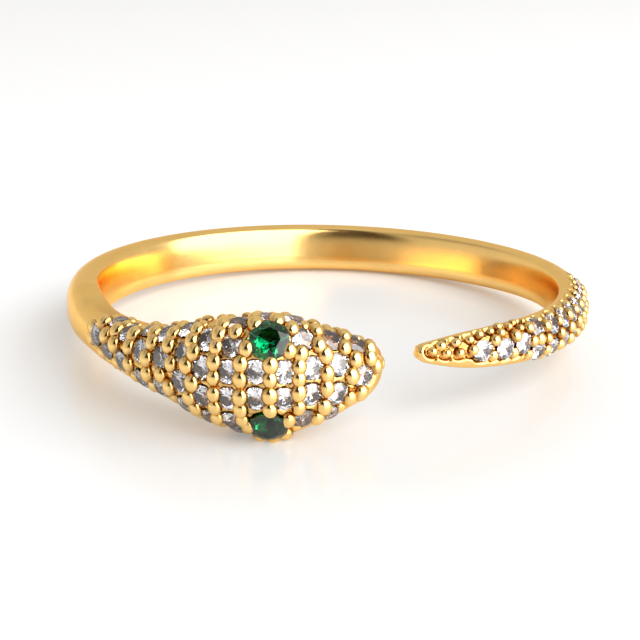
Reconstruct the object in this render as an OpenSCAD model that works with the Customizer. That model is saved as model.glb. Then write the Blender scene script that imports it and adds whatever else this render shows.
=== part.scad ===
// Open snake ring lying on its side.
// A round band ends in a stone-set head and a tapering tail that face each other across a small gap.
// Angles are measured in degrees round the finger hole from the front, less than zero to the left.

/* [Ring] */
// Inside diameter of the finger hole
finger_d = 17.3; // [15:0.1:21]
// Height of the plain band along the finger
band_h = 2; // [1.6:0.05:2.6]
// Thickness of the plain band
band_t = 1.45; // [1.2:0.05:2]

/* [Head] */
// Height of the head across its eyes
head_h = 4.07; // [3.8:0.01:4.8]
// Thickness of the head at its eyes
head_t = 2.9; // [2.5:0.05:3.4]
// Angle from the front back to the eyes
eye_a = 9.6; // [6:0.2:14]
// How far the neck sags towards the lower edge
neck_sag = 0.1; // [0:0.02:0.14]
// How far the snout is bent upwards
snout_lift = 0.08; // [0:0.02:0.3]

/* [Tail] */
// Height of the tail at the middle of its length
tail_h = 1.6; // [1.4:0.05:2]
// Thickness of the tail at the middle of its length
tail_t = 1.25; // [1.15:0.05:1.6]
// Gap between the snout and the tip of the tail, round the outside
tip_gap = 1.4; // [1.2:0.02:3]
// How far the tip of the tail is bent upwards
tail_lift = 0.33; // [0:0.03:0.6]

/* [Stones] */
// Diameter of a clear stone
stone_d = 0.76; // [0.7:0.01:0.78]
// Diameter of an eye stone
eye_d = 1.34; // [1.2:0.02:1.36]
// Distance from the middle line of the head to the middle of an eye, over the skin
eye_reach = 1.52; // [1.5:0.01:1.6]
// The step in which the tables of stones and beads count
stone_step = 1; // [0.99:0.01:1.05]
// Play between a stone and its seat
seat_play = 0.03; // [0.02:0.01:0.04]

/* [Beads] */
// Diameter of a bead that holds stones
bead_d = 0.48; // [0.42:0.02:0.52]
// Height of a bead's middle over the skin
bead_rise = -0.03; // [-0.08:0.01:0.04]
// Height of a low bead's middle over the skin
low_rise = -0.14; // [-0.18:0.01:-0.1]
// Diameter of a fine bead near the tip of the tail
grain_d = 0.38; // [0.3:0.02:0.42]

/* [Hidden] */

finger_r = finger_d / 2;
// Lengths round the outside, in stone steps
NECK_STEPS = 12.35;
SNOUT_STEPS = 4.33;
TAIL_STEPS = 24.5;
function turn_over(length, r) = length / r * 180 / PI;
neck_a = eye_a + turn_over(NECK_STEPS * stone_step, finger_r + (band_t + head_t) / 2);
snout_a = turn_over(SNOUT_STEPS * stone_step, finger_r + head_t) - eye_a;
tail_tip_a = snout_a + turn_over(tip_gap, finger_r + tail_t);
tail_root_a = tail_tip_a + turn_over(TAIL_STEPS * stone_step, finger_r + tail_t);
// Shares of a stone's diameter
SINK_SHARE = 0.1;
OPEN_SHARE = 0.8;
STONE_SIDES = 8;
EYE_SIDES = 16;
// The roundness of a section: 2 is an ellipse
SECTION_POWER = 2.3;
// A section is round to this turn each side of its outermost point, then runs straight into the finger hole
ROUND_TURN = 126;
INNER_SHARE = 1.2;
INNER_DEPTH_SHARE = 0.35;
INNER_HEIGHT_SHARE = 0.5;
SECTION_SIDES = 24;
SECTION_STEP = 2.6;
SHANK_STEP = 4;
TIP_ONWARDS = 0.5;
// Places along the head: 0 the start of the neck, 1 the eyes, 2 the tip of the snout
// Each row: place, height as shares of band and head, thickness as shares of band and head,
// share of the lift, share of the sag
HEAD = [
    [0.00, 1.00, 0.000, 1.00, 0.00, 0.0, 0.00],
    [0.12, 0.92, 0.000, 0.98, 0.02, 0.0, 0.40],
    [0.23, 0.83, 0.000, 0.95, 0.06, 0.0, 0.90],
    [0.41, 0.64, 0.138, 0.75, 0.23, 0.0, 1.30],
    [0.57, 0.36, 0.354, 0.50, 0.46, 0.0, 1.70],
    [0.69, 0.18, 0.580, 0.25, 0.70, 0.0, 0.90],
    [0.81, 0.04, 0.835, 0.08, 0.91, 0.0, 0.70],
    [0.95, 0.00, 0.990, 0.00, 1.00, 0.0, 0.80],
    [1.02, 0.00, 1.000, 0.00, 0.99, 0.0, 0.85],
    [1.17, 0.00, 0.945, 0.00, 0.91, 0.0, 0.65],
    [1.42, 0.00, 0.776, 0.00, 0.75, 0.1, 0.40],
    [1.66, 0.00, 0.600, 0.00, 0.59, 0.3, 0.30],
    [1.85, 0.00, 0.452, 0.00, 0.44, 0.6, 0.20],
    [1.96, 0.00, 0.275, 0.00, 0.29, 0.9, 0.10],
    [2.00, 0.00, 0.108, 0.00, 0.18, 1.0, 0.00],
];
// Places along the tail: 0 the tip, 1 the root
// Each row: place, height as shares of band and tail, thickness as shares of band and tail, share of the lift
TAIL = [
    [0.000, 0.00, 0.26, 0.00, 0.42, 1.06],
    [0.005, 0.00, 0.35, 0.00, 0.48, 1.05],
    [0.015, 0.00, 0.44, 0.00, 0.55, 1.03],
    [0.060, 0.00, 0.69, 0.00, 0.70, 0.98],
    [0.100, 0.00, 0.82, 0.00, 0.81, 0.95],
    [0.170, 0.00, 0.92, 0.00, 0.92, 0.86],
    [0.255, 0.00, 0.98, 0.00, 1.00, 0.68],
    [0.400, 0.00, 1.00, 0.05, 0.95, 0.62],
    [0.580, 0.30, 0.72, 0.35, 0.65, 0.50],
    [0.800, 0.80, 0.20, 0.85, 0.15, 0.15],
    [1.000, 1.00, 0.00, 1.00, 0.00, 0.00],
];
// Stones on the head, column by column from the neck to the snout
// Each row: steps from the eyes along the middle line, steps from the middle line over the skin
HEAD_STONES = [
    [-8.30, 0.08],
    [-7.40, 1.06],
    [-7.40, -0.15],
    [-6.30, 0.77],
    [-6.40, -0.30],
    [-5.30, 1.22],
    [-5.30, -0.64],
    [-5.25, 0.28],
    [-4.25, 1.22],
    [-4.25, -0.78],
    [-4.15, 0.28],
    [-3.25, 1.62],
    [-3.10, 0.70],
    [-3.20, -0.30],
    [-3.15, -1.25],
    [-2.25, 1.30],
    [-2.30, 0.33],
    [-2.30, -0.62],
    [-2.20, -1.54],
    [-1.35, 2.14],
    [-0.42, 2.74],
    [0.72, 2.58],
    [-1.30, 1.22],
    [-1.30, -1.46],
    [-1.30, -2.38],
    [-1.33, 0.33],
    [-1.33, -0.56],
    [-0.36, 0.43],
    [-0.36, -0.45],
    [0.58, 0.42],
    [0.58, -0.46],
    [1.10, 1.52],
    [1.46, 0.48],
    [1.45, -0.41],
    [1.20, -1.34],
    [2.08, 1.42],
    [2.33, 0.50],
    [2.32, -0.50],
    [2.10, -1.42],
    [2.97, 1.18],
    [3.22, -0.08],
];
// Beads on the head, chain by chain
// Each row: steps from the eyes along the middle line, then steps from the middle line to each bead
HEAD_CHAINS = [
    [-7.98, 0.70],
    [-7.42, 0.30],
    [-6.90, 0.65],
    [-6.76, 0.14],
    [-5.85, 0.77, 0.27, -0.26],
    [-4.80, 1.10, 0.12, -0.35],
    [-4.65, 0.72],
    [-4.07, -0.25],
    [-3.78, 1.25, 0.80],
    [-3.55, 0.22],
    [-3.70, -0.60],
    [-2.75, 1.60],
    [-2.80, 1.15],
    [-2.62, 0.80, -0.22],
    [-2.88, 0.30],
    [-2.80, -0.75],
    [-2.60, -1.15],
    [-1.80, 1.95, 1.55, 1.10, 0.60, 0.08, -0.45, -0.92, -1.38],
    [-1.20, 1.70],
    [-0.73, 2.45, 1.15],
    [-0.60, 2.10],
    [-0.87, 0.65, 0.12, -0.43, -0.87],
    [-0.84, -1.25],
    [-0.68, -1.50],
    [-0.36, -2.10],
    [0.10, -2.18],
    [0.54, -2.02],
    [0.12, 2.35, 0.68, 0.20, -0.32, -0.80],
    [0.68, 1.95, 1.12, -1.22],
    [1.05, 1.00],
    [1.02, 0.60, 0.18, -0.28],
    [1.03, -0.78],
    [1.50, 1.85],
    [1.62, 1.25, -1.35],
    [1.85, 0.88, -0.88],
    [1.92, 0.25, -0.22],
    [2.50, 1.60, 1.05],
    [2.76, 0.04],
    [2.72, -0.72],
    [2.88, 0.58],
    [3.12, -0.62],
    [3.42, 0.86, 0.52],
    [3.66, 0.18],
];
// Low beads along the edges of the head's field of stones
HEAD_LOW_CHAINS = [
    [-8.72, 0.32, -0.12],
    [-7.95, -0.42],
    [-6.90, 1.08, -0.50],
    [-5.85, 1.15, -0.76],
    [-4.80, 1.45],
    [-4.75, -0.85],
    [-3.78, 1.65],
    [-3.70, -1.05],
    [-2.75, 1.92],
    [-2.60, -1.60],
    [-1.80, 2.40, -1.85],
    [-0.84, -1.95],
    [0.95, -1.72],
    [1.08, 2.22],
    [2.00, 1.95],
    [2.45, -1.18],
    [2.98, 1.52],
];
// Stones on the tail
// Each row: steps from the tip along the middle line, steps from the middle line over the skin
TAIL_STONES = [
    [2.25, 0.05],
    [3.22, 0.00],
    [4.12, 0.08],
    [4.94, 0.62],
    [4.97, -0.36],
    [5.90, 0.54],
    [5.90, -0.40],
    [6.85, 0.58],
    [6.85, -0.36],
    [7.80, 0.60],
    [7.80, -0.34],
    [8.75, 0.58],
    [8.75, -0.36],
    [9.70, 0.54],
    [9.70, -0.38],
    [10.65, 0.50],
    [10.65, -0.42],
    [11.60, 0.47],
    [11.60, -0.44],
    [12.55, 0.44],
    [12.60, -0.46],
    [13.50, 0.00],
];
// Beads on the tail
// Each row: steps from the tip along the middle line, then steps from the middle line to each bead
TAIL_CHAINS = [
    [1.84, 0.12],
    [2.76, 0.38],
    [3.70, 0.42],
    [4.55, 0.12],
    [4.47, 0.62],
    [4.92, 0.13],
    [5.42, 0.54, 0.08, -0.36],
    [6.37, 0.56, 0.10, -0.34],
    [7.32, 0.58, 0.12, -0.32],
    [8.27, 0.58, 0.12, -0.32],
    [9.22, 0.55, 0.09, -0.35],
    [10.17, 0.52, 0.05, -0.38],
    [11.12, 0.48, 0.02, -0.42],
    [12.07, 0.45, 0.00, -0.44],
    [13.02, 0.44, 0.00, -0.44],
];
// Low beads on the tail
TAIL_LOW_CHAINS = [
    [2.72, -0.22],
    [3.68, -0.24],
    [4.50, -0.46],
    [5.42, 1.00, -0.78],
    [6.37, 1.02, -0.76],
    [7.32, 1.04, -0.74],
    [8.27, 1.02, -0.74],
    [9.22, 1.00, -0.77],
    [10.17, 0.96, -0.80],
    [11.12, 0.92, -0.84],
    [12.07, 0.88, -0.86],
    [13.15, 0.80, -0.82],
    [13.98, 0.24, -0.24],
];
// Fine beads on the tail
TAIL_GRAINS = [
    [0.40, 0.14],
    [0.70, 0.34],
    [0.87, 0.06],
    [1.24, 0.42],
    [1.36, 0.06],
    [1.75, 0.50],
    [2.22, 0.68],
    [2.72, 0.76],
    [3.10, 0.62],
    [3.22, 0.98],
    [3.62, 0.84],
    [4.08, 0.68],
    [4.00, 1.04],
    [4.50, 1.02],
];

// A smooth curve through a table's rows, read at one place
function slope(tbl, i) =
    let (lo = max(i - 1, 0), hi = min(i + 1, len(tbl) - 1))
    (tbl[hi] - tbl[lo]) / (tbl[hi][0] - tbl[lo][0]);
function row_before(tbl, u, i = 0) = i >= len(tbl) - 2 || u < tbl[i + 1][0] ? i : row_before(tbl, u, i + 1);
function read_table(tbl, u) =
    let (
        i = row_before(tbl, u),
        span = tbl[i + 1][0] - tbl[i][0],
        k = min(max((u - tbl[i][0]) / span, 0), 1),
        k2 = k * k,
        k3 = k2 * k
    )
    (2 * k3 - 3 * k2 + 1) * tbl[i] + (k3 - 2 * k2 + k) * span * slope(tbl, i)
    + (3 * k2 - 2 * k3) * tbl[i + 1] + (k3 - k2) * span * slope(tbl, i + 1);

// Half height, thickness, lift and sag of the section at an angle
function head_place(a) =
    a < -eye_a ? (a + neck_a) / (neck_a - eye_a) : 1 + (a + eye_a) / (snout_a + eye_a);
function head_section(a) =
    let (r = read_table(HEAD, head_place(a)))
    [(r[1] * band_h + r[2] * head_h) / 2, r[3] * band_t + r[4] * head_t, r[5] * snout_lift, r[6] * neck_sag];
function tail_section(a) =
    let (r = read_table(TAIL, (a - tail_tip_a) / (tail_root_a - tail_tip_a)))
    [(r[1] * band_h + r[2] * tail_h) / 2, r[3] * band_t + r[4] * tail_t, r[5] * tail_lift, 0];
// Angles past the back of the ring belong to the head again
function section(a) = a > snout_a && a <= 180 ? tail_section(a) : head_section(a > 180 ? a - 360 : a);

// A point of the skin at an angle round the hole, with the turn f round the section from its outermost point
function soft(v) = sign(v) * pow(abs(v), 2 / SECTION_POWER);
function outline_point(s, f) =
    let (half_t = s[1] / 2, c = cos(f), up = soft(sin(f)))
    [finger_r + half_t + half_t * soft(c) * (c < 0 ? INNER_SHARE : 1), s[2] + (s[0] - sign(up) * s[3]) * up];
function turned(p, a) = [p[0] * sin(a), -p[0] * cos(a), p[1]];
function inner_point(s, side) =
    [finger_r - INNER_DEPTH_SHARE * band_t, s[2] + side * INNER_HEIGHT_SHARE * (s[0] - side * s[3])];
function outline(s) = concat(
    [for (i = [0:SECTION_SIDES - 3]) outline_point(s, ROUND_TURN * (2 * i / (SECTION_SIDES - 3) - 1))],
    [inner_point(s, 1), inner_point(s, -1)]
);
function skin(a, f) = turned(outline_point(section(a), f), a);

// The turn f at which the skin is a given way from the middle line
TURN_STEP = 4;
function turn_at(a, way, f = 0) =
    let (step = norm(skin(a, f + TURN_STEP) - skin(a, f)))
    f >= 90 || step >= way ? f + TURN_STEP * way / step : turn_at(a, way - step, f + TURN_STEP);
function signed_turn(a, way) = sign(way) * turn_at(a, abs(way));

// Stands its children on the skin, with +Z outwards and +X along the ring
module on_skin(a, way, rise = 0) {
    f = signed_turn(a, way);
    p = skin(a, f);
    along = skin(a + 0.5, f) - skin(a - 0.5, f);
    across = skin(a, f + 0.5) - skin(a, f - 0.5);
    n = cross(along, across) / norm(cross(along, across));
    x = along / norm(along);
    y = cross(n, x);
    o = p + rise * n;
    multmatrix([
        [x[0], y[0], n[0], o[0]],
        [x[1], y[1], n[1], o[1]],
        [x[2], y[2], n[2], o[2]],
    ]) children();
}

// The angle a given way further along the middle line
function mid_r(a) = finger_r + section(a)[1];
function walked(a, way) =
    abs(way) < 0.001 ? a
    : let (part = sign(way) * min(abs(way), stone_step / 2))
    walked(a + turn_over(part, mid_r(a)), way - part);
function head_angle(steps) = walked(-eye_a, steps * stone_step);
function tail_angle(steps) = walked(tail_tip_a, steps * stone_step);

// A cut stone, girdle at z = 0, its table up and its point down
TABLE_SHARE = 0.56;
CROWN_SHARE = 0.15;
PAVILION_SHARE = 0.42;
GIRDLE_SHARE = 0.04;
function ring_of(r, z, sides) = [for (i = [0:sides - 1]) [r * cos(360 * i / sides), r * sin(360 * i / sides), z]];
// Closes rings of equal size into one solid, from the top ring to the point at the bottom
module pointed_solid(rings, point, sides) {
    last = (len(rings) - 1) * sides;
    polyhedron(
        points = concat([for (r = rings) each r], [point]),
        faces = concat(
            [[for (i = [sides - 1:-1:0]) i]],
            [
                for (k = [0:len(rings) - 2], i = [0:sides - 1])
                    let (j = (i + 1) % sides)
                    [k * sides + i, k * sides + j, (k + 1) * sides + j, (k + 1) * sides + i]
            ],
            [for (i = [0:sides - 1]) [last + i, last + (i + 1) % sides, last + sides]]
        )
    );
}
module cut_stone(d, sides) {
    girdle = GIRDLE_SHARE * d / 2;
    pointed_solid(
        [
            ring_of(TABLE_SHARE * d / 2, CROWN_SHARE * d, sides),
            ring_of(d / 2, girdle, sides),
            ring_of(d / 2, -girdle, sides),
        ],
        [0, 0, -PAVILION_SHARE * d],
        sides
    );
}
// The seat is the stone's own lower half with play round it, open upwards
module seat(d, sides) {
    r = d / 2 + seat_play;
    pointed_solid(
        [
            ring_of(r, OPEN_SHARE * d, sides),
            ring_of(r, -GIRDLE_SHARE * d / 2 - seat_play, sides),
        ],
        [0, 0, -PAVILION_SHARE * d - 2 * seat_play],
        sides
    );
}

module on_head_seats() {
    for (row = HEAD_STONES) on_skin(head_angle(row[0]), row[1] * stone_step, -SINK_SHARE * stone_d) children();
}
module on_tail_seats() {
    for (row = TAIL_STONES) on_skin(tail_angle(row[0]), row[1] * stone_step, -SINK_SHARE * stone_d) children();
}
module on_eye_seat(side) {
    on_skin(-eye_a, side * eye_reach, -SINK_SHARE * stone_d) children();
}

module on_head_chains(chains, rise) {
    for (row = chains, i = [1:len(row) - 1]) on_skin(head_angle(row[0]), row[i] * stone_step, rise) children();
}
module on_tail_chains(chains, rise) {
    for (row = chains, i = [1:len(row) - 1]) on_skin(tail_angle(row[0]), row[i] * stone_step, rise) children();
}
module beads() {
    on_head_chains(HEAD_CHAINS, bead_rise) bead(bead_d);
    on_head_chains(HEAD_LOW_CHAINS, low_rise) bead(bead_d);
    on_tail_chains(TAIL_CHAINS, bead_rise) bead(bead_d);
    on_tail_chains(TAIL_LOW_CHAINS, low_rise) bead(bead_d);
    on_tail_chains(TAIL_GRAINS, bead_rise) bead(grain_d);
}
module bead(d) sphere(r = d / 2, $fn = 24);

// The ring lies on the lower edge of its head and on the back of its band
rest_reach = 2 * finger_r + head_t / 2 + band_t / 2;
EYE_SAG_SHARE = 0.85;
rest_tilt = asin(((head_h - band_h) / 2 + EYE_SAG_SHARE * neck_sag) / rest_reach);
rest_z = band_h / 2 * cos(rest_tilt) + (finger_r + band_t / 2) * sin(rest_tilt);
rest_y = (head_t - band_t) / 2;
module at_rest() {
    translate([0, rest_y, rest_z]) rotate(-eye_a) rotate([-rest_tilt, 0, 0]) rotate(eye_a) children();
}

// Skins a row of sections and closes each end round a middle point that lies a little further on
function middle(a, onwards) = turned([finger_r + section(a)[1] / 2, section(a)[2]], a + onwards);
module sweep(angles) {
    n = SECTION_SIDES;
    last = len(angles) - 1;
    ends = (last + 1) * n;
    polyhedron(
        points = concat(
            [for (a = angles, p = outline(section(a))) turned(p, a)],
            [middle(angles[0], -TIP_ONWARDS), middle(angles[last], TIP_ONWARDS)]
        ),
        faces = concat(
            [for (i = [0:n - 1]) [(i + 1) % n, i, ends]],
            [for (i = [0:n - 1]) [last * n + i, last * n + (i + 1) % n, ends + 1]],
            [
                for (k = [0:last - 1], i = [0:n - 1])
                    let (j = (i + 1) % n, p = k * n, q = p + n)
                    each [[p + i, p + j, q + j], [p + i, q + j, q + i]]
            ]
        )
    );
}
function stepped(from, to, step) =
    let (steps = ceil((to - from) / step))
    [for (i = [0:steps - 1]) from + (to - from) * i / steps];

// One sweep from the tip of the tail round the back to the snout
module snake_body() {
    neck = 360 - neck_a;
    snout = 360 + snout_a;
    sweep(
        concat(
            stepped(tail_tip_a, tail_root_a, SECTION_STEP),
            stepped(tail_root_a, neck, SHANK_STEP),
            stepped(neck, snout, SECTION_STEP),
            [snout]
        )
    );
}

module band() {
    color("goldenrod") at_rest() difference() {
        union() {
            snake_body();
            beads();
        }
        cylinder(h = 3 * head_h, r = finger_r, center = true, $fn = 180);
        on_head_seats() seat(stone_d, STONE_SIDES);
        on_tail_seats() seat(stone_d, STONE_SIDES);
        for (side = [-1, 1]) on_eye_seat(side) seat(eye_d, EYE_SIDES);
    }
}
module head_stones() {
    color("aliceblue") at_rest() on_head_seats() cut_stone(stone_d, STONE_SIDES);
}
module tail_stones() {
    color("aliceblue") at_rest() on_tail_seats() cut_stone(stone_d, STONE_SIDES);
}
module eye_upper() {
    color("seagreen") at_rest() on_eye_seat(1) cut_stone(eye_d, EYE_SIDES);
}
module eye_lower() {
    color("seagreen") at_rest() on_eye_seat(-1) cut_stone(eye_d, EYE_SIDES);
}

band();
head_stones();
tail_stones();
eye_upper();
eye_lower();
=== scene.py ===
import math

import bpy
import numpy as np
from mathutils import Matrix, Vector


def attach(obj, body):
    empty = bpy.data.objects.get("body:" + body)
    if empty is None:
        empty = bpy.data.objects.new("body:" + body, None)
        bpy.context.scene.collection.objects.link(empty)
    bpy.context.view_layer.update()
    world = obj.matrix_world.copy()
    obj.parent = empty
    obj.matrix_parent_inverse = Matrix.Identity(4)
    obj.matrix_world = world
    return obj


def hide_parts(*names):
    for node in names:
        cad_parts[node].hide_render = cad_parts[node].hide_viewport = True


# Lengths are worked out in millimetres in the ring's own frame: the finger hole along +Z, the gap at -Y.
# Angles are in degrees round the finger hole from the front, less than zero to the left.
MM = 0.001

# Sizes of the ring, the same as the CAD part's
FINGER_R = 8.65
BAND_H = 2.0
BAND_T = 1.45
HEAD_H = 4.07
HEAD_T = 2.9
TAIL_H = 1.6
TAIL_T = 1.25
EYE_A = 9.6
SNOUT_LIFT = 0.08
NECK_SAG = 0.1
EYE_SAG_SHARE = 0.85
TAIL_LIFT = 0.33
TIP_GAP = 1.4
STONE_D = 0.76
EYE_D = 1.34
EYE_REACH = 1.52
STONE_SINK = 0.076
BEAD_D = 0.48
GRAIN_D = 0.38
# How far the widest part of a bead stands over the skin: in the field, at its edges and on the crest
BEAD_RISE = -0.03
LOW_RISE = -0.14
CREST_RISE = -0.16
# Outlines: how square the sections are, and how much further than the outside their inside reaches
SECTION_POWER = 2.3
INNER_SHARE = 1.2
# Lengths along the ring of its neck, of its snout and of its tail
NECK_LENGTH = 12.35
SNOUT_LENGTH = 4.33
TAIL_LENGTH = 24.5
# Cut stone, as shares of its diameter, the girdle as half its height
TABLE_SHARE = 0.56
CROWN_SHARE = 0.15
PAVILION_SHARE = 0.42
GIRDLE_SHARE = 0.02

# Places along the head: 0 the start of the neck, 1 the eyes, 2 the tip of the snout
# Each row: place, height as shares of band and head, thickness as shares of band and head,
# share of the lift, share of the sag
HEAD = [
    [0.00, 1.00, 0.000, 1.00, 0.00, 0.0, 0.00],
    [0.12, 0.92, 0.000, 0.98, 0.02, 0.0, 0.40],
    [0.23, 0.83, 0.000, 0.95, 0.06, 0.0, 0.90],
    [0.41, 0.64, 0.138, 0.75, 0.23, 0.0, 1.30],
    [0.57, 0.36, 0.354, 0.50, 0.46, 0.0, 1.70],
    [0.69, 0.18, 0.580, 0.25, 0.70, 0.0, 0.90],
    [0.81, 0.04, 0.835, 0.08, 0.91, 0.0, 0.70],
    [0.95, 0.00, 0.990, 0.00, 1.00, 0.0, 0.80],
    [1.02, 0.00, 1.000, 0.00, 0.99, 0.0, 0.85],
    [1.17, 0.00, 0.945, 0.00, 0.91, 0.0, 0.65],
    [1.42, 0.00, 0.776, 0.00, 0.75, 0.1, 0.40],
    [1.66, 0.00, 0.600, 0.00, 0.59, 0.3, 0.30],
    [1.85, 0.00, 0.452, 0.00, 0.44, 0.6, 0.20],
    [1.96, 0.00, 0.275, 0.00, 0.29, 0.9, 0.10],
    [2.00, 0.00, 0.108, 0.00, 0.18, 1.0, 0.00],
]
# Places along the tail: 0 the tip, 1 the root
# Each row: place, height as shares of band and tail, thickness as shares of band and tail, share of the lift
TAIL = [
    [0.000, 0.00, 0.26, 0.00, 0.42, 1.06],
    [0.005, 0.00, 0.35, 0.00, 0.48, 1.05],
    [0.015, 0.00, 0.44, 0.00, 0.55, 1.03],
    [0.060, 0.00, 0.69, 0.00, 0.70, 0.98],
    [0.100, 0.00, 0.82, 0.00, 0.81, 0.95],
    [0.170, 0.00, 0.92, 0.00, 0.92, 0.86],
    [0.255, 0.00, 0.98, 0.00, 1.00, 0.68],
    [0.400, 0.00, 1.00, 0.05, 0.95, 0.62],
    [0.580, 0.30, 0.72, 0.35, 0.65, 0.50],
    [0.800, 0.80, 0.20, 0.85, 0.15, 0.15],
    [1.000, 1.00, 0.00, 1.00, 0.00, 0.00],
]
# Stones and beads, column by column from the neck to the snout, in millimetres over the skin
# Each row: how far from the eyes along the middle line, then how far from the middle line each one sits
HEAD_STONES = [
    [-8.30, 0.08],
    [-7.40, 1.06, -0.15],
    [-6.30, 0.77],
    [-6.40, -0.30],
    [-5.30, 1.22, -0.64],
    [-5.25, 0.28],
    [-4.25, 1.22, -0.78],
    [-4.15, 0.28],
    [-3.25, 1.62],
    [-3.10, 0.70],
    [-3.20, -0.30],
    [-3.15, -1.25],
    [-2.25, 1.30],
    [-2.30, 0.33, -0.62],
    [-2.20, -1.54],
    [-1.35, 2.14],
    [-0.42, 2.74],
    [0.72, 2.58],
    [-1.30, 1.22, -1.46, -2.38],
    [-1.33, 0.33, -0.56],
    [-0.36, 0.43, -0.45],
    [0.58, 0.42, -0.46],
    [1.10, 1.52],
    [1.46, 0.48],
    [1.45, -0.41],
    [1.20, -1.34],
    [2.08, 1.42],
    [2.33, 0.50],
    [2.32, -0.50],
    [2.10, -1.42],
    [2.97, 1.18],
    [3.22, -0.08],
]
HEAD_BEADS = [
    [-7.98, 0.70],
    [-7.42, 0.30],
    [-6.90, 0.65],
    [-6.76, 0.14],
    [-5.85, 0.77, 0.27, -0.26],
    [-4.80, 1.10, 0.12, -0.35],
    [-4.65, 0.72],
    [-4.07, -0.25],
    [-3.78, 1.25, 0.80],
    [-3.55, 0.22],
    [-3.70, -0.60],
    [-2.75, 1.60],
    [-2.80, 1.15],
    [-2.62, 0.80, -0.22],
    [-2.88, 0.30],
    [-2.80, -0.75],
    [-2.60, -1.15],
    [-1.80, 1.95, 1.55, 1.10, 0.60, 0.08, -0.45, -0.92, -1.38],
    [-1.20, 1.70],
    [-0.73, 2.45, 1.15],
    [-0.60, 2.10],
    [-0.87, 0.65, 0.12, -0.43, -0.87],
    [-0.84, -1.25],
    [-0.68, -1.50],
    [-0.36, -2.10],
    [0.10, -2.18],
    [0.54, -2.02],
    [0.12, 2.35, 0.68, 0.20, -0.32, -0.80],
    [0.68, 1.95, 1.12, -1.22],
    [1.05, 1.00],
    [1.02, 0.60, 0.18, -0.28],
    [1.03, -0.78],
    [1.50, 1.85],
    [1.62, 1.25, -1.35],
    [1.85, 0.88, -0.88],
    [1.92, 0.25, -0.22],
    [2.50, 1.60, 1.05],
    [2.76, 0.04],
    [2.72, -0.72],
    [2.88, 0.58],
    [3.12, -0.62],
    [3.42, 0.86, 0.52],
    [3.66, 0.18],
]
# Low beads along the edges of the field
HEAD_LOW_BEADS = [
    [-8.72, 0.32, -0.12],
    [-7.95, -0.42],
    [-6.90, 1.08, -0.50],
    [-5.85, 1.15, -0.76],
    [-4.80, 1.45],
    [-4.75, -0.85],
    [-3.78, 1.65],
    [-3.70, -1.05],
    [-2.75, 1.92],
    [-2.60, -1.60],
    [-1.80, 2.40, -1.85],
    [-0.84, -1.95],
    [0.95, -1.72],
    [1.08, 2.22],
    [2.00, 1.95],
    [2.45, -1.18],
    [2.98, 1.52],
]
# Beads along the head's upper crest: how far from the eyes, then turns round the section
HEAD_CREST = [
    [-7.85, 78],
    [-7.20, 94],
    [-6.45, 86],
    [-5.80, 100],
    [-5.25, 90],
    [-4.65, 102],
    [-4.10, 94],
    [-3.50, 104],
    [-2.95, 94],
    [-2.40, 104],
    [-1.90, 96],
    [-1.35, 108],
    [-0.85, 102],
    [-0.30, 108],
    [0.25, 106],
    [0.80, 108],
    [1.35, 102],
    [1.85, 108],
    [2.30, 102],
    [2.75, 108],
    [3.15, 100],
]
# The tail's stones and beads, in the same way from its tip
TAIL_STONES = [
    [2.25, 0.05],
    [3.22, 0.00],
    [4.12, 0.08],
    [4.94, 0.62],
    [4.97, -0.36],
    [5.90, 0.54, -0.40],
    [6.85, 0.58, -0.36],
    [7.80, 0.60, -0.34],
    [8.75, 0.58, -0.36],
    [9.70, 0.54, -0.38],
    [10.65, 0.50, -0.42],
    [11.60, 0.47, -0.44],
    [12.55, 0.44],
    [12.60, -0.46],
    [13.50, 0.00],
]
TAIL_BEADS = [
    [1.84, 0.12],
    [2.76, 0.38],
    [3.70, 0.42],
    [4.55, 0.12],
    [4.47, 0.62],
    [4.92, 0.13],
    [5.42, 0.54, 0.08, -0.36],
    [6.37, 0.56, 0.10, -0.34],
    [7.32, 0.58, 0.12, -0.32],
    [8.27, 0.58, 0.12, -0.32],
    [9.22, 0.55, 0.09, -0.35],
    [10.17, 0.52, 0.05, -0.38],
    [11.12, 0.48, 0.02, -0.42],
    [12.07, 0.45, 0.00, -0.44],
    [13.02, 0.44, 0.00, -0.44],
]
TAIL_LOW_BEADS = [
    [2.72, -0.22],
    [3.68, -0.24],
    [4.50, -0.46],
    [5.42, 1.00, -0.78],
    [6.37, 1.02, -0.76],
    [7.32, 1.04, -0.74],
    [8.27, 1.02, -0.74],
    [9.22, 1.00, -0.77],
    [10.17, 0.96, -0.80],
    [11.12, 0.92, -0.84],
    [12.07, 0.88, -0.86],
    [13.15, 0.80, -0.82],
    [13.98, 0.24, -0.24],
]
TAIL_GRAINS = [
    [0.40, 0.14],
    [0.70, 0.34],
    [0.87, 0.06],
    [1.24, 0.42],
    [1.36, 0.06],
    [1.75, 0.50],
    [2.22, 0.68],
    [2.72, 0.76],
    [3.10, 0.62],
    [3.22, 0.98],
    [3.62, 0.84],
    [4.08, 0.68],
    [4.00, 1.04],
    [4.50, 1.02],
]


def turn_over(length, radius):
    return math.degrees(length / radius)


NECK_A = EYE_A + turn_over(NECK_LENGTH, FINGER_R + (BAND_T + HEAD_T) / 2)
SNOUT_A = turn_over(SNOUT_LENGTH, FINGER_R + HEAD_T) - EYE_A
TAIL_TIP_A = SNOUT_A + turn_over(TIP_GAP, FINGER_R + TAIL_T)
TAIL_ROOT_A = TAIL_TIP_A + turn_over(TAIL_LENGTH, FINGER_R + TAIL_T)

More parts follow.
